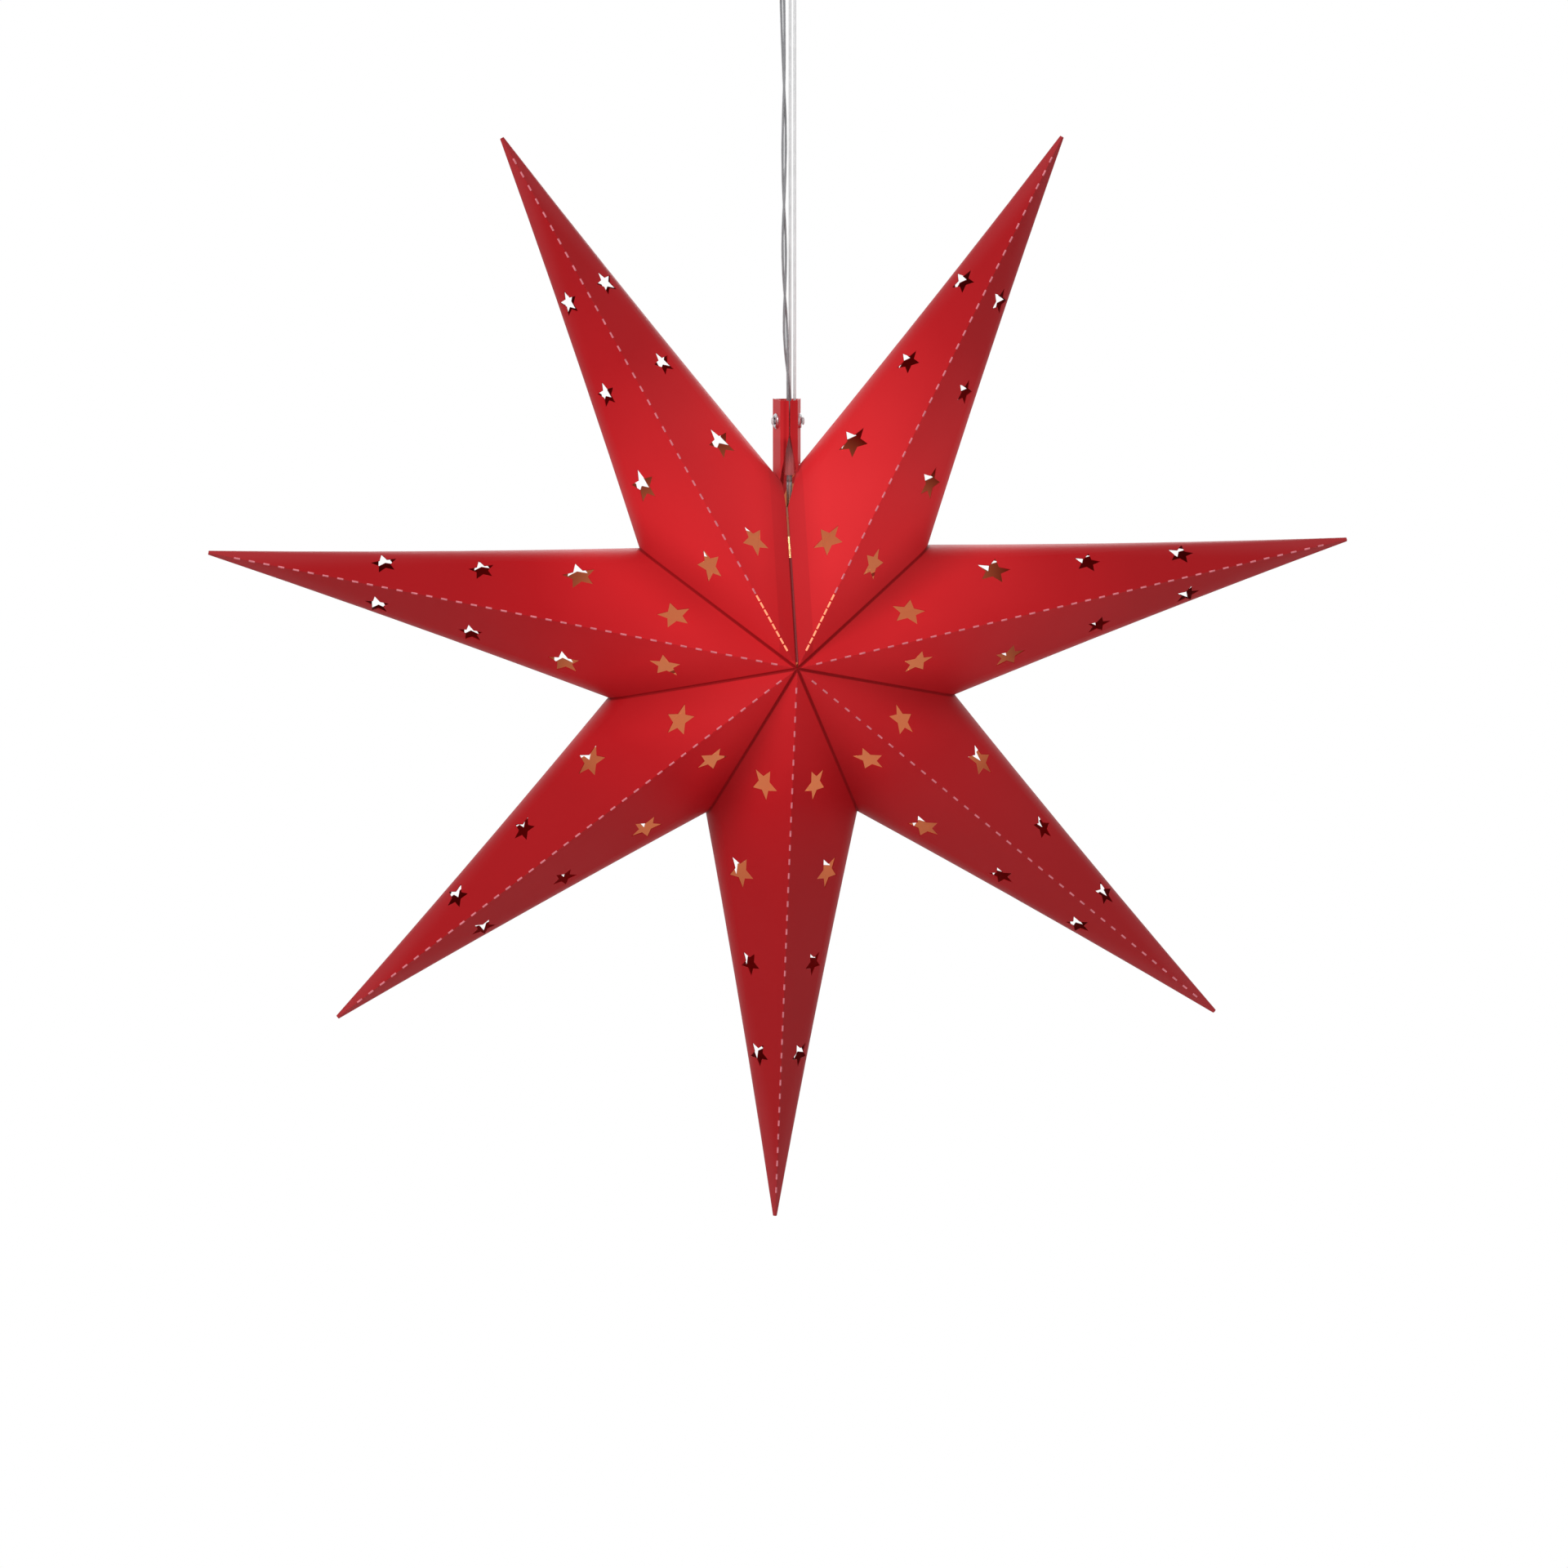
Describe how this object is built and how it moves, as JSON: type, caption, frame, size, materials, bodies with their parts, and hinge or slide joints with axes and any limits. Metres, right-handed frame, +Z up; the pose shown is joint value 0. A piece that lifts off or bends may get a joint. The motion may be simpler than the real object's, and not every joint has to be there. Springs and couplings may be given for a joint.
{
  "type": "paper star lantern",
  "caption": "Red seven-pointed folded paper star lantern with star-shaped cut-outs, lit from inside by a small warm lamp and hung by a doubled line beside its cable.",
  "frame": {"origin": "top of the hanging loop's inside, where it bears on its hook; the star hangs below", "axes": "+Z up along the hanging line, -Y out of the star's front apex, +X to the right as seen from the front"},
  "size_m": [0.5905, 0.1676, 0.8095],
  "materials": {
    "paper": "satin coated paper",
    "eyelet": "satin",
    "clip": "clear, glossy",
    "cable": "clear jacket over dark strands",
    "line": "clear line",
    "tie": "matt",
    "plug": "clear, glossy",
    "pins": "plated",
    "cap": "glossy",
    "board": "matt",
    "diode": "lit",
    "lens": "clear"
  },
  "bodies": {
    "loop": {"hanging_loop": "line"},
    "knot": {"top_knot": "line"},
    "line": {"line_strand_left": "line", "line_strand_right": "line", "end_knot_left": "line", "end_knot_right": "line", "cable_free": "cable", "cable_coil": "cable", "coil_tie": "tie", "plug_relief": "plug", "plug_body": "plug", "plug_pins": "pins"},
    "star": {"arm_upper_right": "paper", "arm_right": "paper", "arm_lower_right": "paper", "arm_bottom": "paper", "arm_lower_left": "paper", "arm_left": "paper", "arm_upper_left": "paper", "arm_laps": "paper", "valley_flanges": "paper", "closing_flap_left": "paper", "closing_flap_right": "paper", "tab_leaf_left": "paper", "tab_leaf_right": "paper", "eyelet_left": "eyelet", "eyelet_right": "eyelet", "cord_clip": "clip", "cable_tab": "cable"},
    "lamp": {"cable_lamp": "cable", "lamp_cap": "cap", "lamp_board": "board", "lamp_diodes": "diode", "lamp_lens": "lens"}
  },
  "joints": [
    {"name": "line_swing", "type": "hinge", "parent": "loop", "child": "knot", "pos_m": [0, 0, -0.034], "axis": [0, 1, 0], "range_deg": [-25, 25]},
    {"name": "line_turn", "type": "hinge", "parent": "knot", "child": "line", "pos_m": [0, 0, -0.034], "axis": [0, 0, 1], "range_deg": [-180, 180]},
    {"name": "star_rock", "type": "hinge", "parent": "line", "child": "star", "pos_m": [-0.0023, 0, -0.3891], "axis": [1, 0, 0], "range_deg": [-18, 18]},
    {"name": "lamp_swing", "type": "hinge", "parent": "star", "child": "lamp", "pos_m": [-0.0018, -0.0029, -0.42], "axis": [1, 0, 0], "range_deg": [-6, 6]}
  ]
}
